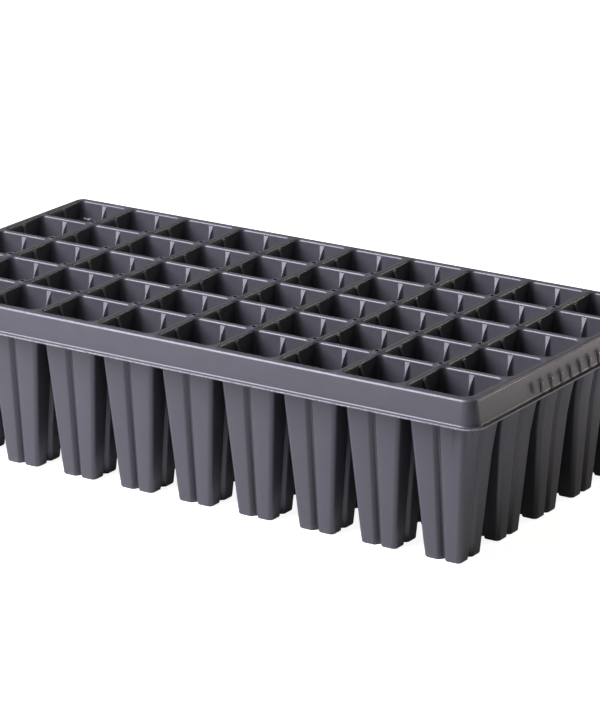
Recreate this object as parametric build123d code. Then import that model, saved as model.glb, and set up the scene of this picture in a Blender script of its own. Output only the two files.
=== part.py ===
from build123d import *
import os
from math import hypot

# Plug tray: fifty deep square cells hanging from one deck, inside a skirted rim.
# Millimetres. The origin is the middle of the tray, on the plane that it stands on.
# X runs along the columns, Y along the rows (row 1 at the front, -Y), Z up.

# ---- Driving dimensions -----------------------------------------------------------------

column_count = 10
row_count = 5
pitch = 51.7                 # from one cell's centre to the next, both ways

deck_height = 124.0          # standing plane to the top of the deck
deck_thickness = 1.2
web_width = 4.6              # strip of deck between two cell mouths
mouth_corner_radius = 8.0

cell_wall = 0.6
foot_width = 29.0            # outside, across one cell's foot
foot_corner_radius = 7.0
floor_thickness = 0.8
drain_hole_diameter = 10.0

groove_width = 6.4           # V groove down the middle of each cell wall, outside
groove_depth = 4.0
facet_fall = 11.0            # depth below the deck at which the groove is full

pad_height = 2.0             # raised pad on each crossing of the webs
pad_reach = 8.0              # crossing's centre to the pad's tip, at the deck
pad_top_reach = 3.4
dimple_diameter = 2.2
dimple_depth = 1.6

rim_overhang = 6.0           # outer cell boundary to the skirt's face, at deck level
rim_edge_radius = 3.0        # rounding between deck and skirt
rim_corner_radius = 9.0      # corner of the rim, in plan
skirt_height = 17.0          # top of the deck to the top of the flange
skirt_flare = 1.0            # how much further out the skirt's lower edge stands
skirt_wall = 1.2
flange_width = 4.5
flange_thickness = 1.5

lug_drop = 14.5              # deck to the stacking ledge in each corner cell
lug_fade = 39.0              # deck to where the ledge's upright wall meets the cell wall
lug_reach = 12.5             # cell boundary to the ledge's ends, along both walls
ledge_thickness = 0.8

rib_count = 9                # grip ribs on the right-hand skirt
rib_spacing = 13.0
rib_width = 3.0
rib_height = 8.0
rib_stand = 0.6

# ---- Sizes that follow ------------------------------------------------------------------

deck_underside = deck_height - deck_thickness
mouth_half = (pitch - web_width) / 2
grid_half_x = column_count * pitch / 2
grid_half_y = row_count * pitch / 2
junction_reach = web_width / 2 + mouth_corner_radius
skirt_foot = deck_height - skirt_height
rim_split = deck_height - rim_edge_radius
overlap = 1.0                # how far a cutting tool runs past what it cuts


# ---- One cell ---------------------------------------------------------------------------

def wall_half(z, inset):
    """Half the width of a cell at height z, inset from the outer face."""
    lower = foot_width / 2
    upper = mouth_half + cell_wall
    return lower + (upper - lower) * z / deck_underside - inset


def wall_radius(z, inset):
    """Corner radius of a cell at height z, inset from the outer face."""
    upper = mouth_corner_radius + cell_wall
    return foot_corner_radius + (upper - foot_corner_radius) * z / deck_underside - inset


def rounded_square(z, inset):
    """Rounded square section of a cell at height z."""
    side = 2 * wall_half(z, inset)
    return Plane.XY.offset(z) * RectangleRounded(side, side, wall_radius(z, inset))


def tapered_body(bottom, inset):
    """Solid of a cell's body without grooves, from bottom up to the deck's underside."""
    return loft([rounded_square(bottom, inset), rounded_square(deck_underside, inset)], ruled=True)


def groove_section(z, inset, half_width, depth):
    """V section on the +Y wall at height z, open to the outside."""
    wall = wall_half(z, inset)
    outline = Polyline(
        (-half_width, wall + overlap),
        (-half_width, wall),
        (0, wall - depth),
        (half_width, wall),
        (half_width, wall + overlap),
        close=True,
    )
    return Plane.XY.offset(z) * make_face(outline)


def groove_body(bottom, inset):
    """V groove on the +Y wall, closed near the deck by a sloping facet."""
    flank = hypot(groove_width / 2, groove_depth)
    half_width = groove_width / 2 + inset * (flank - groove_width / 2) / groove_depth
    depth = groove_depth + inset * flank / (groove_width / 2) - inset
    sections = [groove_section(z, inset, half_width, depth) for z in (bottom, deck_underside)]
    full_level = deck_height - facet_fall
    high_y = wall_half(deck_underside, inset)
    low_y = wall_half(full_level, inset) - depth
    steepness = (deck_underside - full_level) / (high_y - low_y)
    outer_y = high_y + 2 * overlap
    below_facet = Polyline(
        (0, bottom - overlap),
        (outer_y, bottom - overlap),
        (outer_y, deck_underside + steepness * 2 * overlap),
        (0, deck_underside - steepness * high_y),
        close=True,
    )
    keeper = extrude(Plane.YZ * make_face(below_facet), amount=groove_width, both=True)
    return loft(sections, ruled=True) & keeper


def grooved_body(bottom, inset):
    """Cell body with its four grooves taken out."""
    body = tapered_body(bottom, inset)
    groove = groove_body(bottom, inset)
    for turn in range(4):
        body -= Rot(0, 0, 90 * turn) * groove
    return body


def ledge_cutter(inset, ledge_level):
    """What the stacking ledge takes off the +X +Y corner of a cell body."""
    fade_level = deck_height - lug_fade
    near = pitch / 2 - lug_reach - inset
    reach = pitch / 2 + overlap - near
    block = Pos(near, near, fade_level) * Box(
        reach, reach, ledge_level - fade_level, align=(Align.MIN, Align.MIN, Align.MIN)
    )
    upright = extrude(rounded_square(fade_level, inset), amount=ledge_level - fade_level)
    return block - upright


def plain_cell():
    """Cup with four grooved walls, a floor and a drain hole."""
    cup = grooved_body(0, 0) - grooved_body(floor_thickness, cell_wall)
    hole = Cylinder(drain_hole_diameter / 2, 2 * floor_thickness + 2 * overlap)
    return cup - hole


def corner_cell():
    """Cup whose +X +Y corner carries a stacking ledge."""
    ledge_level = deck_height - lug_drop
    outside = grooved_body(0, 0) - ledge_cutter(0, ledge_level)
    inside = grooved_body(floor_thickness, cell_wall)
    inside -= ledge_cutter(cell_wall, ledge_level + ledge_thickness)
    hole = Cylinder(drain_hole_diameter / 2, 2 * floor_thickness + 2 * overlap)
    return outside - inside - hole


def cell_centre(row, column):
    """Centre of a cell, rows and columns counted from 1."""
    x = (column - 0.5) * pitch - grid_half_x
    y = (row - 0.5) * pitch - grid_half_y
    return x, y


def corner_turn(row, column):
    """Quarter turns that bring the +X +Y corner to the tray's nearest corner."""
    turns = {
        (row_count, column_count): 0,
        (row_count, 1): 1,
        (1, 1): 2,
        (1, column_count): 3,
    }
    return turns.get((row, column))


def cells():
    """Every cell by name."""
    plain = plain_cell()
    corner = corner_cell()
    named = {}
    for row in range(1, row_count + 1):
        for column in range(1, column_count + 1):
            turns = corner_turn(row, column)
            cup = plain if turns is None else Rot(0, 0, 90 * turns) * corner
            x, y = cell_centre(row, column)
            named[f"cell_r{row}_c{column:02d}"] = Pos(x, y, 0) * cup
    return named


# ---- Deck between the cells -------------------------------------------------------------

def deck_bar(length_x, length_y, x, y):
    """Flat bar of the deck, centred on x and y."""
    return Pos(x, y, deck_underside) * Box(
        length_x, length_y, deck_thickness, align=(Align.CENTER, Align.CENTER, Align.MIN)
    )


def row_webs():
    """Deck bars that run along X, between neighbouring rows."""
    length = pitch - 2 * junction_reach
    bars = []
    for row in range(1, row_count):
        for column in range(1, column_count + 1):
            x, y = cell_centre(row, column)
            bars.append(deck_bar(length, web_width, x, y + pitch / 2))
    return bars


def column_webs():
    """Deck bars that run along Y, between neighbouring columns."""
    length = pitch - 2 * junction_reach
    bars = []
    for row in range(1, row_count + 1):
        for column in range(1, column_count):
            x, y = cell_centre(row, column)
            bars.append(deck_bar(web_width, length, x + pitch / 2, y))
    return bars


def mouth_prism():
    """Mouth of a cell, through the deck."""
    side = 2 * mouth_half
    face = Plane.XY.offset(deck_underside - overlap) * RectangleRounded(side, side, mouth_corner_radius)
    return extrude(face, amount=deck_thickness + 2 * overlap)


def diamond(reach, z):
    """Square standing on its corner."""
    outline = Polyline((reach, 0), (0, reach), (-reach, 0), (0, -reach), close=True)
    return Plane.XY.offset(z) * make_face(outline)


def raised_pad():
    """Raised pad of a crossing, with a dimple in its top."""
    top = deck_height + pad_height
    pad = loft([diamond(pad_reach, deck_height), diamond(pad_top_reach, top)], ruled=True)
    dimple = Pos(0, 0, top - dimple_depth) * Cylinder(
        dimple_diameter / 2, dimple_depth + overlap, align=(Align.CENTER, Align.CENTER, Align.MIN)
    )
    return pad - dimple


def web_junctions():
    """Deck plate at each crossing, at each web's end and in each corner of the grid."""
    plate = deck_bar(2 * junction_reach, 2 * junction_reach, 0, 0)
    for side_x in (-1, 1):
        for side_y in (-1, 1):
            plate -= Pos(side_x * pitch / 2, side_y * pitch / 2, 0) * mouth_prism()
    crossing = plate + raised_pad()
    inner_x = 2 * grid_half_x - web_width
    inner_y = 2 * grid_half_y - web_width
    window = deck_bar(inner_x, inner_y, 0, 0)
    pieces = []
    for i in range(column_count + 1):
        for j in range(row_count + 1):
            place = Pos(i * pitch - grid_half_x, j * pitch - grid_half_y, 0)
            inside = 0 < i < column_count and 0 < j < row_count
            if inside:
                pieces.append(place * crossing)
            else:
                pieces.extend(((place * plate) & window).solids())
    return pieces


# ---- Rim --------------------------------------------------------------------------------

def rim_outline(z, outset):
    """Rounded rectangle outset from the skirt's outer face at height z."""
    flare = skirt_flare * (deck_height - z) / skirt_height
    half_x = grid_half_x + rim_overhang + flare + outset
    half_y = grid_half_y + rim_overhang + flare + outset
    radius = rim_corner_radius + flare + outset
    return Plane.XY.offset(z) * RectangleRounded(2 * half_x, 2 * half_y, radius)


def rounded_tub(top, outset):
    """Solid inside the skirt, rounded where its sides meet its flat top."""
    tub = loft([rim_outline(skirt_foot, outset), rim_outline(top, outset)], ruled=True)
    edges = tub.faces().sort_by(Axis.Z)[-1].edges()
    return fillet(edges, rim_edge_radius + outset)


def side_wedge(side):
    """Upright wedge that holds one side of the rim, mitred at the corners."""
    waist = grid_half_x - grid_half_y
    far_x = grid_half_x + pitch
    far_y = grid_half_y + pitch
    outlines = {
        "front": ((-waist, 0), (waist, 0), (far_x, -far_y), (-far_x, -far_y)),
        "back": ((-waist, 0), (waist, 0), (far_x, far_y), (-far_x, far_y)),
        "left": ((-waist, 0), (-far_x, far_y), (-far_x, -far_y)),
        "right": ((waist, 0), (far_x, far_y), (far_x, -far_y)),
    }
    face = make_face(Polyline(*outlines[side], close=True))
    return extrude(face, amount=2 * deck_height, both=True)


def rim_shell():
    """Rim and skirt as one bent sheet, open over the cells."""
    window_x = 2 * grid_half_x - web_width
    window_y = 2 * grid_half_y - web_width
    window = Pos(0, 0, deck_height) * Box(window_x, window_y, 2 * skirt_height)
    return rounded_tub(deck_height, 0) - rounded_tub(deck_underside, -skirt_wall) - window


def level_slab(low, high):
    """Slab that holds everything between two heights."""
    return Pos(0, 0, low) * Box(
        4 * grid_half_x, 4 * grid_half_y, high - low, align=(Align.CENTER, Align.CENTER, Align.MIN)
    )


def flange_ring():
    """Flat flange under the skirt's lower edge."""
    outer = extrude(rim_outline(skirt_foot, flange_width), amount=-flange_thickness)
    inner = extrude(rim_outline(skirt_foot, -skirt_wall), amount=-flange_thickness)
    return outer - inner


def grip_ribs():
    """Short upright ribs on the right-hand skirt's face."""
    face_x = grid_half_x + rim_overhang + skirt_flare / 2
    middle_z = deck_height - (rim_edge_radius + skirt_height) / 2
    depth = 2 * (rib_stand + skirt_flare)
    core = loft([rim_outline(skirt_foot, 0), rim_outline(rim_split, 0)], ruled=True)
    cover = loft([rim_outline(skirt_foot, rib_stand), rim_outline(rim_split, rib_stand)], ruled=True)
    ribs = []
    for index in range(rib_count):
        y = (index - (rib_count - 1) / 2) * rib_spacing
        block = Pos(face_x, y, middle_z) * Box(depth, rib_width, rib_height)
        ribs.append((block & cover) - core)
    return ribs


def rim_nodes():
    """Rim deck, skirts and flange by name."""
    shell = rim_shell()
    upper = shell & level_slab(rim_split, deck_height + overlap)
    lower = shell & level_slab(skirt_foot - overlap, rim_split)
    ring = flange_ring()
    sides = ("front", "back", "left", "right")
    named = {
        "rim_deck": [upper & side_wedge(side) for side in sides],
        "flange": [ring & side_wedge(side) for side in sides],
    }
    for side in sides:
        named[f"skirt_{side}"] = [lower & side_wedge(side)]
    return named


# ---- Write ------------------------------------------------------------------------------

def as_group(shapes):
    """One compound of separate solids."""
    solids = []
    for shape in shapes:
        solids.extend(shape.solids())
    return Compound(children=solids)


def write_nodes(named):
    """Write each node to its own STEP file."""
    os.makedirs("parts", exist_ok=True)
    for name, shape in named.items():
        export_step(shape, f"parts/{name}.step")


nodes = {name: cup.solids()[0] for name, cup in cells().items()}
nodes["row_webs"] = as_group(row_webs())
nodes["column_webs"] = as_group(column_webs())
nodes["web_junctions"] = as_group(web_junctions())
nodes["grip_ribs"] = as_group(grip_ribs())
for node_name, pieces in rim_nodes().items():
    nodes[node_name] = as_group(pieces)
write_nodes(nodes)
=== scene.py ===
import bmesh
import bpy
import numpy as np
from mathutils import Matrix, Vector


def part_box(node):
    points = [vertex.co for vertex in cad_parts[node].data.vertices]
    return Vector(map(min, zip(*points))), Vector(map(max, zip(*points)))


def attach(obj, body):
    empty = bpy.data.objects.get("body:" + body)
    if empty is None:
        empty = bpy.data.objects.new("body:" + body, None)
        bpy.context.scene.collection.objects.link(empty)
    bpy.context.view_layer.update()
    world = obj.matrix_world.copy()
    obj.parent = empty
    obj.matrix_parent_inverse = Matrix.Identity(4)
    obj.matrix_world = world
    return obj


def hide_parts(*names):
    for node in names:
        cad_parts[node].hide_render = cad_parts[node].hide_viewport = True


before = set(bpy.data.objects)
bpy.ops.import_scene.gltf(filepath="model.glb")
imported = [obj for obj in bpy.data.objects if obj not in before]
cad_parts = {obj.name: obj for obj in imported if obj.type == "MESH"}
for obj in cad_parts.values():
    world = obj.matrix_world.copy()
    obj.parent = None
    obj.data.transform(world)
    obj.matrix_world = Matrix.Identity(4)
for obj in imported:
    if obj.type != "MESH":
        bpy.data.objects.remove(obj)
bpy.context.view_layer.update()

# Plug tray: one thermoformed sheet, shown as fifty cups, the deck between them, the pads on
# its crossings, the skirted rim and the grip ribs. Metres, in the tray's own frame.

# ---- Sizes taken from the model ---------------------------------------------------------

MM = 0.001
column_count = 10
row_count = 5


def cell_node(row, column):
    """Name of a cell's node, rows and columns counted from 1."""
    return f"cell_r{row}_c{column:02d}"


def node_span(node):
    """Lowest and highest corner of a node as arrays."""
    low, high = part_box(node)
    return np.array(low), np.array(high)


def node_middle(node):
    """Middle of a node's box, as an array."""
    low, high = node_span(node)
    return (low + high) / 2


deck_rise = 1.1 * MM                  # the formed deck swells this much above the plain plate
pad_rise = 0.6 * MM                   # its pads stand this much above the plain ones
skirt_drop = 0.4 * MM                 # its flange's top lies this much lower
flange_trim = 1.1 * MM                # its flange is trimmed this much narrower
pitch = float(node_middle(cell_node(1, 2))[0] - node_middle(cell_node(1, 1))[0])
cell_low, cell_high = node_span(cell_node(1, 2))
deck_top = float(node_span("rim_deck")[1][2]) + deck_rise
deck_under = float(cell_high[2]) + deck_rise
grid_half = np.array([column_count, row_count]) * pitch / 2
skirt_foot = float(node_span("skirt_front")[0][2]) - skirt_drop
flange_under = float(node_span("flange")[0][2])
flange_out = float(node_span("flange")[1][0]) - grid_half[0] - flange_trim
skirt_out = float(node_span("skirt_right")[1][0]) - grid_half[0]
pad_top = float(node_span("web_junctions")[1][2]) + pad_rise

# ---- Sizes of the form ------------------------------------------------------------------

sheet = 0.6 * MM                      # wall of a cell
mouth_half = float(cell_high[0] - cell_low[0]) / 2 - sheet    # of a cell, inside
mouth_corner = 8.0 * MM
foot_half = 14.5 * MM
foot_corner = 7.0 * MM
toe_inside = 1.6 * MM                 # rounding between a cell's wall and its floor, inside
toe_outside = 1.2 * MM                # and outside
floor_thick = 0.8 * MM
drain_radius = 5.0 * MM
drain_edge = 0.15 * MM                # bevel on the drain hole's two edges
lip_round = 1.3 * MM
groove_half = 3.2 * MM
groove_depth = 4.0 * MM
groove_shallow = 0.68                 # groove's depth at the deck as a share of its depth at the foot
groove_edge = 0.9 * MM                # rounding where the groove leaves the wall
ridge_half = 0.35 * MM
ridge_edge = 0.35 * MM                # rounding of the ridge's two edges
groove_neck = 0.68                    # groove's width beside the facet as a share of its full width
neck_run = 18.0 * MM                  # height over which the groove widens below the facet
facet_head = deck_top - 1.8 * MM      # level where the groove starts
facet_foot = deck_top - 12.5 * MM     # level where the groove reaches its full depth
facet_trim = 0.25 * MM                # facet is this much narrower than the groove on each side
ledge_level = deck_top - 14.5 * MM    # level of a corner cell's stacking ledge
ledge_fade = deck_top - 39.0 * MM     # level where the upright wall below it ends
ledge_near = pitch / 2 - 12.5 * MM    # from a side's middle to its ledge
ledge_step = 0.3 * MM                 # half the length of the step at the ledge's end
ledge_edge = 0.4 * MM                 # rounding of that step
edge_round = 2.3 * MM                 # rounding between deck and skirt
rim_corner = 3.0 * MM                 # corner radius of the cells' outer boundary
rim_over = 4.6 * MM                   # skirt's top outside the cells' boundary
deck_gap = 0.1 * MM                   # deck ends this much short of that rounding
deck_reach = rim_over - edge_round - deck_gap
end_strip = 17.0 * MM                 # strip inside the cells' boundary that gives way at an end
end_margin = 12.0 * MM                # and outside it, until the move is whole
end_shift = 2.9 * MM                  # how far both ends move along x
end_bow = 5.2 * MM                    # how much further the right end's middle moves
end_still = 0.55                      # share of the height, from the floor, that stays where it is
end_rise = 0.32                       # share of the height over which the move grows


# ---- Wear -------------------------------------------------------------------------------

# How much each edge is rubbed, from none at 0 to pale all along at 1.
LIP_RUB = 0.9
FOOT_RUB = 0.7
PAD_RUB = 0.7
RIM_RUB = 1.0
RIB_RUB = 0.8


# ---- Mesh helpers -----------------------------------------------------------------------

MERGE_DISTANCE = 0.001 * MM
CUT_LIMIT = 0.46                      # most of a side that one corner's arc may take up
TINY = 1e-6                           # keeps a weight above zero where an outline turns back


def smooth_step(share):
    """Zero below 0, one above 1, and 3s^2 - 2s^3 between."""
    share = np.clip(share, 0, 1)
    return share * share * (3 - 2 * share)


def sheet_faces(rows, columns, wrap_rows, wrap_columns):
    """Quads of a grid of points, row by row; a wrapped direction joins its last line to its first."""
    row = np.arange(rows if wrap_rows else rows - 1)
    column = np.arange(columns if wrap_columns else columns - 1)
    r, c = np.meshgrid(row, column, indexing="ij")
    below = (r + 1) % rows
    right = (c + 1) % columns
    quads = [r * columns + c, r * columns + right, below * columns + right, below * columns + c]
    return np.stack(quads, -1).reshape(-1, 4)


def join_grids(parts):
    """One list of points, faces and marks from several (points, faces, marks)."""
    points, faces, marks = [], [], []
    start = 0
    for part_points, part_faces, part_marks in parts:
        points.append(part_points)
        faces.append(part_faces + start)
        marks.append(part_marks)
        start += len(part_points)
    return np.concatenate(points), np.concatenate(faces), np.concatenate(marks)


def lift(plan, height):
    """Grid of points in space from a grid of points in plan and their heights."""
    return np.concatenate([plan, np.broadcast_to(height, plan.shape[:2])[..., None]], -1)


def surface_marks(shape, rub=0.0, draw=0.0, cut=0.0):
    """Marks of a grid of points: how rubbed, how far drawn down and how raw-cut each one is."""
    return np.stack([np.broadcast_to(mark, shape).ravel() for mark in (rub, draw, cut)], -1)


def spread_ends(points):
    """Moves the deck's two ends along x, as warm sheet sets when it leaves the mould.

    The move is the product of a smooth step across the strip at the end, a smooth step up
    the height, and the end's amount. The right end also bows outwards, by its bow times one
    less the square of y over the half width.
    """
    x, y, z = points[:, 0], points[:, 1], points[:, 2]
    near_end = smooth_step((np.abs(x) - grid_half[0] + end_strip) / (end_strip + end_margin))
    high = smooth_step((z - deck_top * end_still) / (deck_top * end_rise))
    bow = end_bow * np.clip(1 - (y / grid_half[1]) ** 2, 0, 1) * (x > 0)
    moved = points.copy()
    moved[:, 0] += near_end * high * (end_shift + bow)
    return moved


def make_piece(name, points, faces, marks, nodes, material, flat=False):
    """Mesh object from points, quads and a mark per point (rub, draw, cut), in place of CAD nodes.

    flat tells, for each quad, whether it is shaded as a plane.
    """
    points = spread_ends(points)
    mesh = bpy.data.meshes.new(name)
    mesh.vertices.add(len(points))
    mesh.vertices.foreach_set("co", np.ascontiguousarray(points, np.float32).ravel())
    mesh.loops.add(faces.size)
    mesh.loops.foreach_set("vertex_index", np.ascontiguousarray(faces, np.int32).ravel())
    mesh.polygons.add(len(faces))
    mesh.polygons.foreach_set("loop_start", np.arange(0, faces.size, 4, dtype=np.int32))
    mesh.update(calc_edges=True)
    mesh.validate()
    for index, mark in enumerate(("rub", "draw", "cut")):
        layer = mesh.attributes.new(mark, "FLOAT", "POINT")
        layer.data.foreach_set("value", np.ascontiguousarray(marks[:, index], np.float32))
    smooth = np.logical_not(flat) & np.ones(len(mesh.polygons), bool)
    mesh.polygons.foreach_set("use_smooth", smooth)
    piece = bpy.data.objects.new(name, mesh)
    bpy.context.scene.collection.objects.link(piece)
    piece.data.materials.append(material)
    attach(piece, "root")
    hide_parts(*nodes)
    return piece


def soft_outline(corners, cut, corner_of, share):
    """Closed outline with rounded corners, for many levels at once.

    Each corner C becomes the circular arc that leaves both its sides at the distance cut from
    C. The arc is the rational curve through A = C + cut a, weight w at C, and B = C + cut b,
    where a and b point to the neighbouring corners and w is the sine of half the angle
    between them. A cut stays within its limit of the shorter side. corners is (levels,
    corners, 2), cut is (levels, corners); corner_of and share say which corner each outline
    point belongs to and how far along its arc it is.
    """
    back = np.roll(corners, 1, 1) - corners
    ahead = np.roll(corners, -1, 1) - corners
    back_length = np.linalg.norm(back, axis=-1)
    ahead_length = np.linalg.norm(ahead, axis=-1)
    cut = np.minimum(cut, CUT_LIMIT * np.minimum(back_length, ahead_length))[..., None]
    back = back / back_length[..., None]
    ahead = ahead / ahead_length[..., None]
    weight = np.sqrt(np.clip((1 - (back * ahead).sum(-1)) / 2, TINY, 1))[..., None]
    first = (corners + cut * back)[:, corner_of]
    last = (corners + cut * ahead)[:, corner_of]
    middle = corners[:, corner_of]
    weight = weight[:, corner_of]
    s = share[None, :, None]
    top = (1 - s) ** 2 * first + 2 * weight * s * (1 - s) * middle + s**2 * last
    return top / ((1 - s) ** 2 + 2 * weight * s * (1 - s) + s**2)


def arc_plan(counts):
    """Corner number and share along its arc for each outline point, given points per corner."""
    corner_of = np.repeat(np.arange(len(counts)), counts)
    share = np.concatenate([np.linspace(0, 1, n) for n in counts])
    return corner_of, share


def merge_close(piece):
    """Joins points that lie on each other, such as a pole's."""
    work = bmesh.new()
    work.from_mesh(piece.data)
    bmesh.ops.remove_doubles(work, verts=work.verts, dist=MERGE_DISTANCE)
    work.to_mesh(piece.data)
    work.free()


# ---- Cells ------------------------------------------------------------------------------

# Points on each arc round a cell: its corner, a ledge's step, a groove's shoulder, its ridge.
MAIN_POINTS = 11
STEP_POINTS = 2
SHOULDER_POINTS = 4
RIDGE_POINTS = 3
SIDE_COUNTS = (
    [MAIN_POINTS]
    + [STEP_POINTS] * 2
    + [SHOULDER_POINTS] + [RIDGE_POINTS] * 2 + [SHOULDER_POINTS]
    + [STEP_POINTS] * 2
)
FIRST_SHOULDER = 3                    # places in SIDE_COUNTS of a groove's first shoulder
LAST_RIDGE = 5                        # and of its ridge's second edge
LIP_STEPS = 6
TOE_STEPS = 4
FLOOR_SHARES = (0.5, 0.06, 0.0)       # rows of the floor, from the wall to the drain hole


def outer_half(level):
    """Half width of a cell's outside: in a straight line from foot to mouth."""
    return foot_half + (mouth_half + sheet - foot_half) * level / deck_under


def outer_corner(level):
    """Corner radius of a cell's outside: in a straight line from foot to mouth."""
    return foot_corner + (mouth_corner + sheet - foot_corner) * level / deck_under


lip_half = outer_half(deck_top) - sheet + lip_round
lip_corner = outer_corner(deck_top) - sheet + lip_round


def cell_outline(level, inset, widen, ledge_turn):
    """Section of a cell at each level: a rounded square with a V groove in each side.

    Half width grows in a straight line from foot to mouth. The groove gets shallower in a
    straight line from foot to deck, and narrower over neck_run below the facet. From the
    facet's foot to its head the ridge is cut back in proportion to the height, and the cut,
    as wide as the V is there, is the facet. In a corner with a stacking ledge, the corner
    stands upright below the ledge until the tapering wall meets it. inset is 0 outside and
    one wall inside; widen spreads the lip.
    """
    half = outer_half(level) - inset + widen
    radius = outer_corner(level) - inset + widen
    flank = np.hypot(groove_half, groove_depth)
    wide = groove_half + inset * (flank - groove_half) / groove_depth
    shallow = 1 - (1 - groove_shallow) * np.clip(level / deck_under, 0, 1)
    depth = groove_depth * shallow + inset * flank / groove_half - inset
    full = np.clip((facet_head - level) / (facet_head - facet_foot), 0, 1)
    cap = full * depth
    wide = wide * (groove_neck + (1 - groove_neck) * np.clip((facet_foot - level) / neck_run, 0, 1))
    inner = np.maximum(wide * (1 - full) - facet_trim, ridge_half)
    fade_half = outer_half(ledge_fade) - inset
    below = (level < ledge_level + (inset > 0) * sheet) & (level > ledge_fade)
    upright = np.where(below, np.minimum(half, fade_half), half)
    near = np.minimum(ledge_near - inset, half - radius - 2 * ledge_step)
    corners, cuts = [], []
    for turn in range(4):
        here = upright if turn == ledge_turn else half
        after = upright if (turn + 1) % 4 == ledge_turn else half
        side = [
            (here, here, radius),
            (near + ledge_step, here, ledge_edge),
            (near - ledge_step, half, ledge_edge),
            (wide, half, groove_edge),
            (inner, half - cap, ridge_edge),
            (-inner, half - cap, ridge_edge),
            (-wide, half, groove_edge),
            (ledge_step - near, half, ledge_edge),
            (-near - ledge_step, after, ledge_edge),
        ]
        cos, sin = np.cos(turn * np.pi / 2), np.sin(turn * np.pi / 2)
        for x, y, cut in side:
            x, y, cut = np.broadcast_arrays(x * np.ones_like(level), y, cut)
            corners.append(np.stack([x * cos - y * sin, x * sin + y * cos], -1))
            cuts.append(cut)
    corner_of, share = arc_plan(SIDE_COUNTS * 4)
    return soft_outline(np.stack(corners, 1), np.stack(cuts, 1), corner_of, share)


def wall_levels(low, high):
    """Levels down a cell wall, close together at the facet's foot and at the ledge.

    Each place on the wall has levels at some millimetres above or below it.
    """
    places = [
        (low, (0, 4)),
        (high, (0,)),
        (deck_under, (0,)),
        (facet_head, (0, -0.5)),
        (facet_foot, (4, 0.7, 0, -0.8)),
        (ledge_level + sheet, (0.3, -0.1)),
        (ledge_level, (0.1, -0.2, -3)),
        (ledge_fade, (8, 0, -14, -34, -60)),
    ]
    levels = {place + offset * MM for place, offsets in places for offset in offsets}
    return np.array(sorted((level for level in levels if low <= level <= high), reverse=True))


def cell_centre(row, column):
    """Middle of a cell in plan."""
    return np.array([column - 0.5, row - 0.5]) * pitch - grid_half


def cup(centre, ledge_turn):
    """A cell as one closed surface: down the inside, through the drain hole, up the outside.

    Rows of the same outline run from the lip's rounding down the inner wall, over the rounded
    foot to the hole's edge, back across the underside, round the foot's edge and up the
    outer wall to the deck's underside. The lip and the foot's edges are quarter circles. On
    the floor, each row lies a share of the way from the foot's outline to the hole. The
    fourth result tells which quads are plain.
    """
    bend = np.linspace(0, np.pi / 2, LIP_STEPS)
    lip_level = deck_top - lip_round * (1 - np.cos(bend))
    lip_widen = lip_round * (1 - np.sin(bend))
    inner_level = wall_levels(floor_thick + toe_inside, deck_top - lip_round)[1:]
    outer_level = wall_levels(toe_outside, deck_under)[::-1]
    turn = np.linspace(0, np.pi / 2, TOE_STEPS)[1:]
    inner_toe_level = floor_thick + toe_inside * (1 - np.sin(turn))
    inner_toe_widen = -toe_inside * (1 - np.cos(turn))
    outer_toe_level = toe_outside * (1 - np.sin(turn[::-1]))
    outer_toe_widen = -toe_outside * (1 - np.cos(turn[::-1]))
    level = np.concatenate([lip_level, inner_level, inner_toe_level])
    widen = np.concatenate([lip_widen, np.zeros(len(inner_level)), inner_toe_widen])
    inside = cell_outline(level, sheet, widen, ledge_turn)
    level_out = np.concatenate([outer_toe_level, outer_level])
    widen_out = np.concatenate([outer_toe_widen, np.zeros(len(outer_level))])
    outside = cell_outline(level_out, 0.0, widen_out, ledge_turn)
    angle = np.arctan2(inside[-1, :, 1], inside[-1, :, 0])
    hole = drain_radius * np.stack([np.cos(angle), np.sin(angle)], -1)
    floor_in = [hole + (inside[-1] - hole) * share for share in FLOOR_SHARES]
    floor_out = [hole + (outside[0] - hole) * share for share in FLOOR_SHARES[::-1]]
    plan = np.concatenate([inside, floor_in, floor_out, outside])
    floor_levels = [floor_thick, floor_thick, floor_thick - drain_edge, drain_edge, 0.0, 0.0]
    height = np.concatenate([level, floor_levels, level_out])
    rows, columns = plan.shape[:2]
    points = lift(plan + centre, height[:, None])
    rub = np.zeros((rows, 1))
    rub[: len(lip_level)] = np.sin(2 * bend)[:, None] * LIP_RUB
    foot_rows = slice(rows - len(level_out) - 2, rows - len(level_out) + len(outer_toe_level) + 1)
    rub[foot_rows] = FOOT_RUB
    draw = np.clip(1 - height / deck_top, 0, 1)[:, None]
    marks = surface_marks((rows, columns), rub=rub, draw=draw)
    faces = sheet_faces(rows, columns, True, True)
    flat = np.zeros((rows, columns), bool)
    flat[len(lip_level) - 1 : len(lip_level) + len(inner_level) - 1] = between_ridge_arcs()
    flat[rows - len(outer_level) : rows - 1] = between_ridge_arcs()
    return points.reshape(-1, 3), faces, marks, flat.ravel()


def between_ridge_arcs():
    """Which quads round the outline are the plain flanks and top of a wall's ridge."""
    corner_of, _ = arc_plan(SIDE_COUNTS * 4)
    within = corner_of % len(SIDE_COUNTS)
    leaves = corner_of != np.roll(corner_of, -1)
    return leaves & (within >= FIRST_SHOULDER) & (within <= LAST_RIDGE)


def ledge_corner(row, column):
    """Quarter turns to the corner that carries a stacking ledge, or None."""
    corners = {
        (row_count, column_count): 0,
        (row_count, 1): 1,
        (1, 1): 2,
        (1, column_count): 3,
    }
    return corners.get((row, column))


def add_cups(material):
    """Every cell as a piece of its own."""
    for row in range(1, row_count + 1):
        for column in range(1, column_count + 1):
            nodes = [cell_node(row, column)]
            centre = cell_centre(row, column)
            points, faces, marks, flat = cup(centre, ledge_corner(row, column))
            make_piece(f"cup_r{row}_c{column:02d}", points, faces, marks, nodes, material, flat)


# ---- Deck -------------------------------------------------------------------------------

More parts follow.
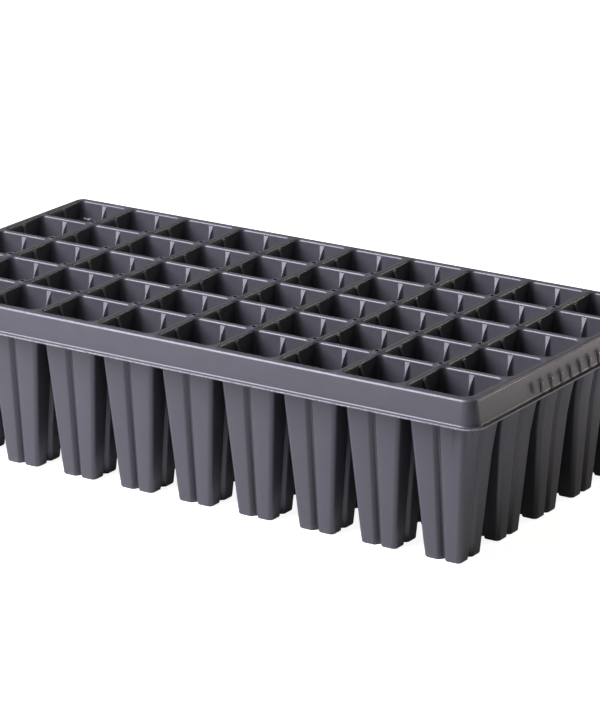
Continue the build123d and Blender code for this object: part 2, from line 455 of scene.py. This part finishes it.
CORNER_SIGNS = np.array([[1, 1], [-1, 1], [-1, -1], [1, -1]])
CORNER_LEAD = 0.15                    # share of a tray corner's points on each straight beside it
EDGE_TOLERANCE = 0.01 * MM


def mouth_ring(half, radius, steps):
    """Rounded square as points, each corner an arc of steps points."""
    corners = CORNER_SIGNS[None] * half
    corner_of, share = arc_plan([steps] * 4)
    return soft_outline(corners, np.full((1, 4), radius), corner_of, share)[0]


def tile(row, column):
    """Deck round one mouth: top and underside, joined at the mouth and along the tray's edge.

    The inner line is the lip's rounded square and the outer line the cell's boundary, which
    runs on to the rim's rounding where the cell is at the edge. Each lip point goes to the
    boundary point at the same share of the same corner, so neighbours share their points.
    """
    ring = mouth_ring(lip_half, lip_corner, MAIN_POINTS)
    low = np.full(2, -pitch / 2)
    high = np.full(2, pitch / 2)
    low -= deck_reach * np.array([column == 1, row == 1])
    high += deck_reach * np.array([column == column_count, row == row_count])
    straight = lip_half - lip_corner
    share = np.linspace(0, 1, MAIN_POINTS)
    quarters = []
    for turn, sign in enumerate(CORNER_SIGNS):
        corner = np.where(sign > 0, high, low)
        on_upright = np.array([corner[0], sign[1] * straight])
        on_level = np.array([sign[0] * straight, corner[1]])
        start, finish = (on_upright, on_level) if turn % 2 == 0 else (on_level, on_upright)
        if turn == ledge_corner(row, column):
            quarters.append(tray_corner(corner, sign, turn, start, finish, share))
        else:
            first = start + (corner - start) * np.clip(2 * share, 0, 1)[:, None]
            second = (finish - corner) * np.clip(2 * share - 1, 0, 1)[:, None]
            quarters.append(first + second)
    boundary = np.concatenate(quarters)
    middle = ring + (boundary - ring) * 0.5
    plan = np.stack([boundary, middle, ring, ring, middle, boundary])
    level = np.repeat([deck_under, deck_top], 3)
    centre = cell_centre(row, column)
    points = lift(plan + centre, level[:, None])
    rows, columns = plan.shape[:2]
    faces = sheet_faces(rows, columns, True, True)
    edge_wall = slice((rows - 1) * columns, rows * columns)
    radius = rim_corner + deck_reach
    past = np.abs(boundary + centre) - (grid_half + deck_reach - radius)
    off_edge = np.linalg.norm(np.maximum(past, 0), axis=-1) + np.minimum(past.max(-1), 0) - radius
    on_edge = np.abs(off_edge) < EDGE_TOLERANCE
    shown = np.ones(len(faces), bool)
    shown[edge_wall] = on_edge & np.roll(on_edge, -1)
    return points.reshape(-1, 3), faces[shown][:, ::-1], surface_marks((rows, columns))


def tray_corner(corner, sign, turn, start, finish, share):
    """Deck's edge at a corner of the tray: straight, a quarter circle, and straight again."""
    radius = rim_corner + deck_reach
    angle = np.pi / 2 * (turn + np.clip((share - CORNER_LEAD) / (1 - 2 * CORNER_LEAD), 0, 1))
    arc = corner - sign * radius + radius * np.stack([np.cos(angle), np.sin(angle)], -1)
    into = np.clip(share / CORNER_LEAD, 0, 1)[:, None]
    out = np.clip((share - 1 + CORNER_LEAD) / CORNER_LEAD, 0, 1)[:, None]
    return arc + (start - arc[0]) * (1 - into) + (finish - arc[-1]) * out


def add_deck(material):
    """Deck sheet between the mouths."""
    tiles = [
        tile(row, column)
        for row in range(1, row_count + 1)
        for column in range(1, column_count + 1)
    ]
    points, faces, marks = join_grids(tiles)
    nodes = ["row_webs", "column_webs"]
    merge_close(make_piece("deck_sheet", points, faces, marks, nodes, material))


# ---- Pads on the crossings --------------------------------------------------------------

pad_reach = 7.6 * MM                  # from a pad's middle to the tips of its star
pad_shoulder = 3.1 * MM               # radius of its flat crown
pad_tuck = 0.25 * MM                  # its edge goes this far under the deck's top
pad_back = 0.2 * MM                   # its back's edge lies this far above the deck's underside
pad_floor = 0.3 * MM                  # and its back's middle this far below the hole
hole_radius = 1.8 * MM
hole_depth = 3.0 * MM
STAR_POWER = 0.86                     # below one, so that the star's sides pull in
FALL_POWER = 1.6                      # above one, so that rings crowd at the shoulder
PAD_SPOKES = 32
FALL_RINGS = 11
# The punched hole's rings, from the middle of its floor to its edge: radius as a share of
# hole_radius, and drop below the crown as a share of hole_depth. Its wall is wider low down.
HOLE_RINGS = np.array([[0.0, 1.0], [0.8, 1.0], [1.5, 0.9], [1.4, 0.35], [1.0, 0.04], [1.1, 0.0]])


def pad(centre):
    """Raised pad: a low mound on a star whose four tips run along the webs, with a punched hole.

    In polar form the star's edge is reach / (|cos|^p + |sin|^p)^(1/p) with p below one, which
    pulls the sides in between the tips. Rings go from the hole's floor up its wall, which
    closes in towards the top, over the flat crown and past the shoulder. From there to the
    star's edge the height falls by a smooth step.
    """
    angle = np.linspace(0, 2 * np.pi, PAD_SPOKES, endpoint=False)
    ray = np.stack([np.cos(angle), np.sin(angle)], -1)
    star = (np.abs(ray) ** STAR_POWER).sum(-1) ** (-1 / STAR_POWER)
    hole = HOLE_RINGS[:, :1] * hole_radius * np.ones(PAD_SPOKES)
    share = np.linspace(0, 1, FALL_RINGS)[:, None]
    fall = pad_shoulder + share**FALL_POWER * (star * pad_reach - pad_shoulder)
    radius = np.concatenate([hole, fall])
    drop = np.concatenate([HOLE_RINGS[:, 1:] * hole_depth, (pad_top - deck_top) * smooth_step(share)])
    drop[-1] += pad_tuck
    points = lift(centre + radius[..., None] * ray, pad_top - drop)
    under = points[-1:].copy()
    under[..., 2] = deck_under + pad_back
    closing = under.copy()
    closing[..., :2] = centre
    closing[..., 2] = pad_top - hole_depth - pad_floor
    points = np.concatenate([points, under, closing])
    rub = np.zeros((len(points), 1))
    rub[len(HOLE_RINGS) - 1 : len(HOLE_RINGS) + 2] = PAD_RUB
    marks = surface_marks(points.shape[:2], rub=rub)
    faces = sheet_faces(len(points), PAD_SPOKES, False, True)
    return points.reshape(-1, 3), faces[:, ::-1], marks


def add_pads(material):
    """A pad on every crossing inside the grid."""
    spots = [
        np.array([i, j]) * pitch - grid_half
        for i in range(1, column_count)
        for j in range(1, row_count)
    ]
    points, faces, marks = join_grids([pad(spot) for spot in spots])
    piece = make_piece("crossing_pads", points, faces, marks, ["web_junctions"], material)
    merge_close(piece)


# ---- Rim --------------------------------------------------------------------------------

rim_wall = 1.1 * MM
rim_lap = 0.5 * MM                    # width of the rim's flat top, which laps over the deck
lap_lift = 0.015 * MM                 # its inner edge lies this much above the deck
lap_tuck = 0.3 * MM                   # and its back this much above the deck's underside
skirt_bend = 1.4 * MM                 # bend from skirt to flange, seen from outside
skirt_bend_under = 1.8 * MM           # the same bend, seen from below
under_out = 1.0 * MM                  # how far out from the skirt's face its centre is
under_start = 1.2 * MM                # and how far out the flat underside ends
flange_edge = 0.35 * MM               # rounding of the flange's upper edge
flange_edge_under = 0.25 * MM         # and of its lower edge
RIM_CORNER_POINTS = 25
RIM_RUBBED = slice(3, 8)              # rows of the profile on the rounded edge


def arc_points(centre, radius, start, finish, steps):
    """Points of an arc in the profile's plane, angles in degrees."""
    angle = np.radians(np.linspace(start, finish, steps))
    return np.stack([centre[0] + radius * np.cos(angle), centre[1] + radius * np.sin(angle)], -1)


def rim_profile():
    """Profile of the rim: how far out it stands and its level, going round the sheet.

    Over the rounded edge, down the skirt, out along the flange, round its cut edge and back
    under, up the skirt's inside. Straight runs join arcs of circles.
    """
    skirt_top = deck_top - edge_round
    edge_middle = rim_over - edge_round
    under_middle = (skirt_out + under_out, flange_under + skirt_bend_under)
    upper_middle = (flange_out - flange_edge, skirt_foot - flange_edge)
    lower_middle = (flange_out - flange_edge_under, flange_under + flange_edge_under)
    lap = [(edge_middle - rim_lap, deck_top + lap_lift)]
    edge = arc_points((edge_middle, skirt_top), edge_round, 90, 3, 9)
    bend = arc_points((skirt_out + skirt_bend, skirt_foot + skirt_bend), skirt_bend, 176, 270, 7)
    upper_edge = arc_points(upper_middle, flange_edge, 90, 0, 4)
    lower_edge = arc_points(lower_middle, flange_edge_under, 0, -90, 3)
    back = [(skirt_out + under_start, flange_under)]
    bend_under = arc_points(under_middle, skirt_bend_under, 270, 183, 5)
    inner = [(rim_over - rim_wall, skirt_top)]
    inside = arc_points((edge_middle, skirt_top), edge_round - rim_wall, 0, 90, 5)[1:]
    tuck = [(edge_middle - rim_lap, deck_under + lap_tuck)]
    parts = [lap, edge, bend, upper_edge, lower_edge, back, bend_under, inner, inside, tuck]
    rows = np.concatenate([np.array(part) for part in parts])
    rub = np.zeros(len(rows))
    rub[RIM_RUBBED] = RIM_RUB
    cut_start = len(lap) + len(edge) + len(bend) + 1
    cut = np.zeros(len(rows))
    cut[cut_start : cut_start + len(upper_edge) + len(lower_edge) - 1] = 1.0
    return rows, rub, cut


def add_rim(material):
    """Rim, skirt and flange: the profile carried round a rounded rectangle.

    Each profile point has its own rectangle, outset from the cells' boundary, with corners
    that keep one centre.
    """
    rows, rub, cut = rim_profile()
    out, level = rows[:, 0], rows[:, 1]
    corners = CORNER_SIGNS[None] * (grid_half[None, None] + out[:, None, None])
    cuts = np.repeat((rim_corner + out)[:, None], 4, 1)
    corner_of, share = arc_plan([RIM_CORNER_POINTS] * 4)
    plan = soft_outline(corners, cuts, corner_of, share)
    points = lift(plan, level[:, None])
    marks = surface_marks(plan.shape[:2], rub=rub[:, None], cut=cut[:, None])
    faces = sheet_faces(*plan.shape[:2], True, True)
    nodes = ["rim_deck", "flange", "skirt_front", "skirt_back", "skirt_left", "skirt_right"]
    make_piece("rim_and_skirt", points.reshape(-1, 3), faces[:, ::-1], marks, nodes, material)


rib_count = 9
rib_width = 3.0 * MM
rib_swell = 0.5 * MM                  # how far a rib's middle stands out from its edge
rib_lean = 0.5 * MM                   # how much further out its lower end is than its upper end
rib_sink = 0.8 * MM                   # how far its back is sunk behind its edge
rib_edge_share = 0.42                 # its edge lies this share of the plain rib's thickness
rib_edge_drop = 0.1 * MM              # and this much more behind the plain rib's face
RIB_RINGS = 7
RIB_SPOKES = 24
RIB_RUBBED = slice(3, 6)              # rings on its shoulder
SQUARED = 2 / 5                       # power that turns a circle into a squared ellipse


def add_ribs(material):
    """Grip ribs: pillow-shaped bars in an even row, a squared ellipse in outline and in height."""
    low, high = node_span("grip_ribs")
    step = (high[1] - low[1] - rib_width) / (rib_count - 1)
    half_z = (high[2] - low[2]) / 2
    parts = []
    for index in range(rib_count):
        y = low[1] + rib_width / 2 + index * step
        parts.append(rib(y, (low[2] + high[2]) / 2, rib_width / 2, half_z, low[0], high[0]))
    points, faces, marks = join_grids(parts)
    piece = make_piece("rim_grip_ribs", points, faces, marks, ["grip_ribs"], material)
    merge_close(piece)


def rib(y, z, half_y, half_z, inner, outer):
    """One rib as a closed pillow, between the inner and the outer face of the plain one.

    Rings of a superellipse grow from the middle to the edge. A ring stands out by the swell
    times the square root of one less the fourth power of its share of the way, and the whole
    rib leans out in proportion to the depth below its middle.
    """
    angle = np.linspace(0, 2 * np.pi, RIB_SPOKES, endpoint=False)
    across = np.sign(np.cos(angle)) * np.abs(np.cos(angle)) ** SQUARED
    along = np.sign(np.sin(angle)) * np.abs(np.sin(angle)) ** SQUARED
    share = np.linspace(0, 1, RIB_RINGS)[:, None]
    swell = rib_swell * (1 - share**4) ** 0.5
    edge_face = outer - rib_edge_share * (outer - inner) - rib_edge_drop
    rings = np.empty((RIB_RINGS, RIB_SPOKES, 3))
    rings[..., 1] = y + half_y * share * across
    rings[..., 2] = z + half_z * share * along
    rings[..., 0] = edge_face + (z - rings[..., 2]) / (2 * half_z) * rib_lean + swell
    back = rings[-1:].copy()
    back[..., 0] -= rib_sink
    pole = back.copy()
    pole[..., 1] = y
    pole[..., 2] = z
    points = np.concatenate([rings, back, pole])
    rub = np.zeros((len(points), 1))
    rub[RIB_RUBBED] = RIB_RUB
    marks = surface_marks(points.shape[:2], rub=rub)
    faces = sheet_faces(len(points), RIB_SPOKES, False, True)
    return points.reshape(-1, 3), faces[:, ::-1], marks


# ---- Material ---------------------------------------------------------------------------

PLASTIC_DARK = (0.034, 0.033, 0.037, 1)
PLASTIC_LIGHT = (0.046, 0.045, 0.050, 1)
PLASTIC_STRETCHED = (0.055, 0.054, 0.060, 1)
DUST = (0.20, 0.19, 0.18, 1)
WORN = (0.12, 0.118, 0.125, 1)
RAW_CUT = (0.38, 0.37, 0.38, 1)
# How far each effect pulls the colour, from 0 to 1.
STRETCH_TINT = 0.35
DUST_TINT = 0.05
WORN_TINT = 0.30
RAW_TINT = 0.75
# Roughness of the clean sheet, and what the mottle, a raw cut and dust add to it.
CLEAN_ROUGHNESS = 0.31
MOTTLE_ROUGHNESS = 0.16
RAW_ROUGHNESS = 0.3
DUST_ROUGHNESS = 0.2
# Share of each relief in the bump, whose distance is in metres.
GRAIN_RELIEF = 0.22
RIPPLE_RELIEF = 1.5
DRAG_RELIEF = 0.45
BURR_RELIEF = 3.0
BUMP_STRENGTH = 0.25
BUMP_DISTANCE = 0.0002
DRAG_POWER = 0.6                      # below one, so that drag marks start soon below the deck
PLASTIC_IOR = 1.58


def new_group(name, inputs, outputs):
    """Empty shader node group with named value and vector sockets."""
    group = bpy.data.node_groups.new(name, "ShaderNodeTree")
    for label, kind, default in inputs:
        socket = group.interface.new_socket(label, in_out="INPUT", socket_type=kind)
        if default is not None:
            socket.default_value = default
    for label, kind in outputs:
        group.interface.new_socket(label, in_out="OUTPUT", socket_type=kind)
    return group, group.nodes.new("NodeGroupInput"), group.nodes.new("NodeGroupOutput")


def add_node(tree, kind, links=None, **settings):
    """Node with its settings, its input values, named in_ and the input, and its linked inputs."""
    node = tree.nodes.new(kind)
    for name, value in settings.items():
        if name.startswith("in_"):
            node.inputs[name[3:].replace("_", " ")].default_value = value
        else:
            setattr(node, name, value)
    for key, source in (links or {}).items():
        tree.links.new(source, node.inputs[key])
    return node


def calc(tree, operation, first, second):
    """Math node of two sources or numbers."""
    node = tree.nodes.new("ShaderNodeMath")
    node.operation = operation
    for index, source in enumerate((first, second)):
        if isinstance(source, (int, float)):
            node.inputs[index].default_value = source
        else:
            tree.links.new(source, node.inputs[index])
    return node.outputs[0]


def sheet_grain_group():
    """Surface of heat-formed sheet: fine matt grain, soft ripples and a mottled tone.

    Height is the weighted sum of the grain and the ripples; tone is the mean of a mottle and
    the ripples.
    """
    group, source, result = new_group(
        "formed_sheet_grain",
        [("Vector", "NodeSocketVector", None), ("Fine", "NodeSocketFloat", 2600.0),
         ("Ripple", "NodeSocketFloat", 45.0)],
        [("Height", "NodeSocketFloat"), ("Tone", "NodeSocketFloat")],
    )
    at = {"Vector": source.outputs["Vector"]}
    fine = add_node(group, "ShaderNodeTexNoise", at, in_Detail=3.0, in_Roughness=0.6)
    group.links.new(source.outputs["Fine"], fine.inputs["Scale"])
    ripple = add_node(group, "ShaderNodeTexNoise", at, in_Detail=2.0, in_Roughness=0.45)
    group.links.new(source.outputs["Ripple"], ripple.inputs["Scale"])
    mottle = add_node(group, "ShaderNodeTexNoise", at, in_Scale=240.0, in_Detail=4.0)
    height = calc(group, "MULTIPLY", fine.outputs[0], GRAIN_RELIEF)
    height = calc(group, "ADD", height, calc(group, "MULTIPLY", ripple.outputs[0], RIPPLE_RELIEF))
    tone = calc(group, "MULTIPLY", mottle.outputs[0], 0.5)
    tone = calc(group, "ADD", tone, calc(group, "MULTIPLY", ripple.outputs[0], 0.5))
    group.links.new(height, result.inputs["Height"])
    group.links.new(tone, result.inputs["Tone"])
    return group


def draw_marks_group():
    """Upright drag marks where the sheet is drawn down over the mould, stronger low down.

    Noise squeezed to upright streaks, times a power of how far the sheet is drawn down.
    """
    group, source, result = new_group(
        "draw_marks",
        [("Vector", "NodeSocketVector", None), ("Drawn", "NodeSocketFloat", 0.0)],
        [("Height", "NodeSocketFloat"), ("Pale", "NodeSocketFloat")],
    )
    squeeze = add_node(
        group, "ShaderNodeMapping", {"Vector": source.outputs["Vector"]}, in_Scale=(1.0, 1.0, 0.035)
    )
    streak = add_node(
        group, "ShaderNodeTexNoise", {"Vector": squeeze.outputs[0]},
        in_Scale=420.0, in_Detail=3.0, in_Roughness=0.55,
    )
    band = add_node(
        group, "ShaderNodeTexNoise", {"Vector": squeeze.outputs[0]}, in_Scale=90.0, in_Detail=2.0
    )
    drawn = calc(group, "POWER", source.outputs["Drawn"], DRAG_POWER)
    height = calc(group, "MULTIPLY", streak.outputs[0], drawn)
    pale = calc(group, "MULTIPLY", band.outputs[0], drawn)
    group.links.new(height, result.inputs["Height"])
    group.links.new(pale, result.inputs["Pale"])
    return group


def edge_rub_group():
    """Broken-up pale wear along rubbed edges, and a raw, burred face along cut ones.

    Each is patchy noise, sharpened, times the edge's mark.
    """
    group, source, result = new_group(
        "edge_rub",
        [("Vector", "NodeSocketVector", None), ("Rub", "NodeSocketFloat", 0.0),
         ("Cut", "NodeSocketFloat", 0.0)],
        [("Worn", "NodeSocketFloat"), ("Raw", "NodeSocketFloat"), ("Burr", "NodeSocketFloat")],
    )
    at = {"Vector": source.outputs["Vector"]}
    patch = add_node(group, "ShaderNodeTexNoise", at, in_Scale=160.0, in_Detail=5.0, in_Roughness=0.65)
    nick = add_node(group, "ShaderNodeTexNoise", at, in_Scale=1500.0, in_Detail=3.0)
    sharp = add_node(
        group, "ShaderNodeMapRange", {"Value": patch.outputs[0]},
        in_From_Min=0.42, in_From_Max=0.68, interpolation_type="SMOOTHSTEP",
    )
    worn = calc(group, "MULTIPLY", sharp.outputs[0], source.outputs["Rub"])
    raw = add_node(
        group, "ShaderNodeMapRange", {"Value": nick.outputs[0]}, in_From_Min=0.38, in_From_Max=0.62
    )
    raw_mask = calc(group, "MULTIPLY", raw.outputs[0], source.outputs["Cut"])
    group.links.new(worn, result.inputs["Worn"])
    group.links.new(raw_mask, result.inputs["Raw"])
    group.links.new(calc(group, "MULTIPLY", nick.outputs[0], source.outputs["Cut"]), result.inputs["Burr"])
    return group


def dust_group():
    """Thin dust in soft patches: cloudy noise times how nearly the surface looks straight up."""
    group, source, result = new_group(
        "resting_dust",
        [("Vector", "NodeSocketVector", None), ("Normal", "NodeSocketVector", None)],
        [("Dust", "NodeSocketFloat")],
    )
    split = add_node(group, "ShaderNodeSeparateXYZ", {"Vector": source.outputs["Normal"]})
    level = add_node(
        group, "ShaderNodeMapRange", {"Value": split.outputs[2]}, in_From_Min=0.75, in_From_Max=1.0
    )
    cloud = add_node(
        group, "ShaderNodeTexNoise", {"Vector": source.outputs["Vector"]}, in_Scale=70.0, in_Detail=6.0
    )
    patch = add_node(
        group, "ShaderNodeMapRange", {"Value": cloud.outputs[0]}, in_From_Min=0.45, in_From_Max=0.75
    )
    group.links.new(calc(group, "MULTIPLY", level.outputs[0], patch.outputs[0]), result.inputs["Dust"])
    return group


def mix_colour(tree, factor, first, second):
    """Blend of two colours, given as sockets or values."""
    node = tree.nodes.new("ShaderNodeMix")
    node.data_type = "RGBA"
    tree.links.new(factor, node.inputs["Factor"])
    for key, source in (("A", first), ("B", second)):
        socket = [s for s in node.inputs if s.name == key and s.type == "RGBA"][0]
        if isinstance(source, tuple):
            socket.default_value = source
        else:
            tree.links.new(source, socket)
    return [s for s in node.outputs if s.type == "RGBA"][0]


def tray_plastic():
    """Charcoal sheet with a faint violet cast: grain, drag marks, rubbed edges, raw cut, dust."""
    material = bpy.data.materials.new("tray_plastic")
    material.use_nodes = True
    tree = material.node_tree
    shader = tree.nodes["Principled BSDF"]
    place = tree.nodes.new("ShaderNodeTexCoord").outputs["Object"]
    marks = {
        name: add_node(tree, "ShaderNodeAttribute", attribute_name=name).outputs["Fac"]
        for name in ("rub", "draw", "cut")
    }
    grain = add_node(tree, "ShaderNodeGroup", node_tree=sheet_grain_group())
    drag = add_node(tree, "ShaderNodeGroup", node_tree=draw_marks_group())
    wear = add_node(tree, "ShaderNodeGroup", node_tree=edge_rub_group())
    dust = add_node(tree, "ShaderNodeGroup", node_tree=dust_group())
    for effect in (grain, drag, wear, dust):
        tree.links.new(place, effect.inputs["Vector"])
    tree.links.new(marks["draw"], drag.inputs["Drawn"])
    tree.links.new(marks["rub"], wear.inputs["Rub"])
    tree.links.new(marks["cut"], wear.inputs["Cut"])
    tree.links.new(tree.nodes.new("ShaderNodeNewGeometry").outputs["Normal"], dust.inputs["Normal"])
    tone = mix_colour(tree, grain.outputs["Tone"], PLASTIC_DARK, PLASTIC_LIGHT)
    for effect, amount, colour in (
        (drag.outputs["Pale"], STRETCH_TINT, PLASTIC_STRETCHED),
        (dust.outputs["Dust"], DUST_TINT, DUST),
        (wear.outputs["Worn"], WORN_TINT, WORN),
        (wear.outputs["Raw"], RAW_TINT, RAW_CUT),
    ):
        tone = mix_colour(tree, calc(tree, "MULTIPLY", effect, amount), tone, colour)
    tree.links.new(tone, shader.inputs["Base Color"])
    rough = calc(tree, "MULTIPLY", grain.outputs["Tone"], MOTTLE_ROUGHNESS)
    rough = calc(tree, "ADD", rough, CLEAN_ROUGHNESS)
    for effect, amount in (
        (wear.outputs["Raw"], RAW_ROUGHNESS),
        (dust.outputs["Dust"], DUST_ROUGHNESS),
    ):
        rough = calc(tree, "ADD", rough, calc(tree, "MULTIPLY", effect, amount))
    tree.links.new(rough, shader.inputs["Roughness"])
    height = grain.outputs["Height"]
    for effect, amount in ((drag.outputs["Height"], DRAG_RELIEF), (wear.outputs["Burr"], BURR_RELIEF)):
        height = calc(tree, "ADD", height, calc(tree, "MULTIPLY", effect, amount))
    bump = add_node(
        tree, "ShaderNodeBump", {"Height": height},
        in_Strength=BUMP_STRENGTH, in_Distance=BUMP_DISTANCE,
    )
    tree.links.new(bump.outputs[0], shader.inputs["Normal"])
    shader.inputs["IOR"].default_value = PLASTIC_IOR
    return material


# ---- Studio -----------------------------------------------------------------------------

PAPER_DARK = (0.56, 0.56, 0.56, 1)
PAPER_LIGHT = (0.62, 0.62, 0.62, 1)
FLOOR_RADIUS = 12.0
FLOOR_GLOW = 0.85                     # what the floor gives off to the camera alone
FLOOR_BOUNCE = 0.065                  # what it gives off to the camera and the tray
ROOM_FILL = 0.035                     # how bright the room is to the tray
COOL_LIGHT = (0.86, 0.85, 1.0)
WARM_LIGHT = (1.0, 0.90, 0.84)
STRAW_LIGHT = (1.0, 0.97, 0.84)
AMBER_LIGHT = (1.0, 0.93, 0.74)
# The camera's azimuth, elevation and roll in degrees, how far it is from the point that it
# looks at, and its lens and sensor in millimetres.
CAMERA_ANGLES = (33.828, 18.013, -0.327)
CAMERA_DISTANCE = 2.5243
CAMERA_TARGET = np.array([0.1208, -0.1230, 0.126])
CAMERA_LENS = 183.58
CAMERA_SENSOR = 36
CAMERA_REACH = 50                     # metres to the furthest thing it shows


def stage_material():
    """Pale paper, a little brighter to the camera than to the tray, as an overlit sweep is."""
    material = bpy.data.materials.new("pale_paper")
    material.use_nodes = True
    tree = material.node_tree
    shader = tree.nodes["Principled BSDF"]
    place = tree.nodes.new("ShaderNodeTexCoord").outputs["Object"]
    fibre = add_node(tree, "ShaderNodeTexNoise", {"Vector": place}, in_Scale=40.0)
    tone = mix_colour(tree, fibre.outputs[0], PAPER_DARK, PAPER_LIGHT)
    tree.links.new(tone, shader.inputs["Base Color"])
    shader.inputs["Roughness"].default_value = 0.9
    shader.inputs["Specular IOR Level"].default_value = 0.1
    shader.inputs["Emission Color"].default_value = (1, 1, 1, 1)
    seen = tree.nodes.new("ShaderNodeLightPath").outputs["Is Camera Ray"]
    glow = calc(tree, "ADD", calc(tree, "MULTIPLY", seen, FLOOR_GLOW), FLOOR_BOUNCE)
    tree.links.new(glow, shader.inputs["Emission Strength"])
    return material


def add_floor():
    """Pale floor: a wide disc of rings whose radii grow as a square, about the tray's middle."""
    rings, spokes = 6, 64
    radius = np.linspace(0.02, 1, rings)[:, None] ** 2 * FLOOR_RADIUS
    angle = np.linspace(0, 2 * np.pi, spokes, endpoint=False)
    points = lift(np.stack([radius * np.cos(angle), radius * np.sin(angle)], -1), 0.0)
    mesh = bpy.data.meshes.new("floor")
    faces = sheet_faces(rings, spokes, False, True).tolist() + [list(range(spokes))]
    mesh.from_pydata(points.reshape(-1, 3).tolist(), [], faces)
    floor = bpy.data.objects.new("floor", mesh)
    bpy.context.scene.collection.objects.link(floor)
    floor.data.materials.append(stage_material())


def bearing(azimuth, elevation):
    """Right, up and away from the tray as unit vectors, for a bearing in radians."""
    away = np.array([
        np.sin(azimuth) * np.cos(elevation),
        -np.cos(azimuth) * np.cos(elevation),
        np.sin(elevation),
    ])
    right = np.array([np.cos(azimuth), np.sin(azimuth), 0])
    return right, np.cross(away, right), away


def set_up(thing, place, right, up, away):
    """Puts a lamp or camera in its place, with its axes along right, up and away."""
    turn = Matrix((right, up, away)).transposed().to_4x4()
    thing.matrix_world = Matrix.Translation(place.tolist()) @ turn
    bpy.context.scene.collection.objects.link(thing)


def add_lamp(name, azimuth, elevation, distance, size, power, colour):
    """Soft box at a bearing from the tray in degrees, turned to face it."""
    right, up, away = bearing(np.radians(azimuth), np.radians(elevation))
    light = bpy.data.lights.new(name, "AREA")
    light.shape = "RECTANGLE"
    light.size, light.size_y = size
    light.energy = power
    light.color = colour
    lamp = bpy.data.objects.new(name, light)
    lamp.visible_camera = False
    set_up(lamp, away * distance, right, up, away)


def add_surroundings():
    """White to the camera, dim to the tray, so that level faces stay dark."""
    world = bpy.data.worlds.new("surroundings")
    bpy.context.scene.world = world
    world.use_nodes = True
    tree = world.node_tree
    seen = tree.nodes.new("ShaderNodeLightPath").outputs["Is Camera Ray"]
    shade = tree.nodes["Background"]
    strength = calc(tree, "ADD", calc(tree, "MULTIPLY", seen, 1.0 - ROOM_FILL), ROOM_FILL)
    tree.links.new(strength, shade.inputs["Strength"])
    shade.inputs["Color"].default_value = (1, 1, 1, 1)


def add_studio():
    """Large cool softbox at the front left; behind, a low and a high warm one and two dim ones.

    Each lamp has its azimuth and elevation in degrees, distance and size in metres, power
    in watts and colour.
    """
    add_lamp("key_softbox", -37, 43, 2.1, (1.4, 1.8), 143, COOL_LIGHT)
    add_lamp("warm_softbox", 142, 6, 2.2, (0.6, 0.26), 11, WARM_LIGHT)
    add_lamp("warm_top", 142, 38, 2.2, (0.6, 0.3), 5, WARM_LIGHT)
    add_lamp("side_fill", 146, 27, 2.4, (1.0, 0.8), 2.6, STRAW_LIGHT)
    add_lamp("back_softbox", 205, 22, 3.0, (3.4, 1.6), 4, AMBER_LIGHT)
    add_surroundings()
    bpy.context.scene.view_settings.view_transform = "Standard"


def add_camera():
    """Camera at its bearing and distance from the point it looks at, rolled about its own axis."""
    azimuth, elevation, roll = np.radians(CAMERA_ANGLES)
    level, upright, away = bearing(azimuth, elevation)
    right = np.cos(roll) * level + np.sin(roll) * upright
    up = np.cos(roll) * upright - np.sin(roll) * level
    data = bpy.data.cameras.new("camera")
    data.lens = CAMERA_LENS
    data.sensor_width = CAMERA_SENSOR
    data.clip_end = CAMERA_REACH
    camera = bpy.data.objects.new("camera", data)
    set_up(camera, CAMERA_TARGET + away * CAMERA_DISTANCE, right, up, away)
    bpy.context.scene.camera = camera


plastic = tray_plastic()
add_cups(plastic)
add_deck(plastic)
add_pads(plastic)
add_rim(plastic)
add_ribs(plastic)
add_floor()
add_studio()
add_camera()
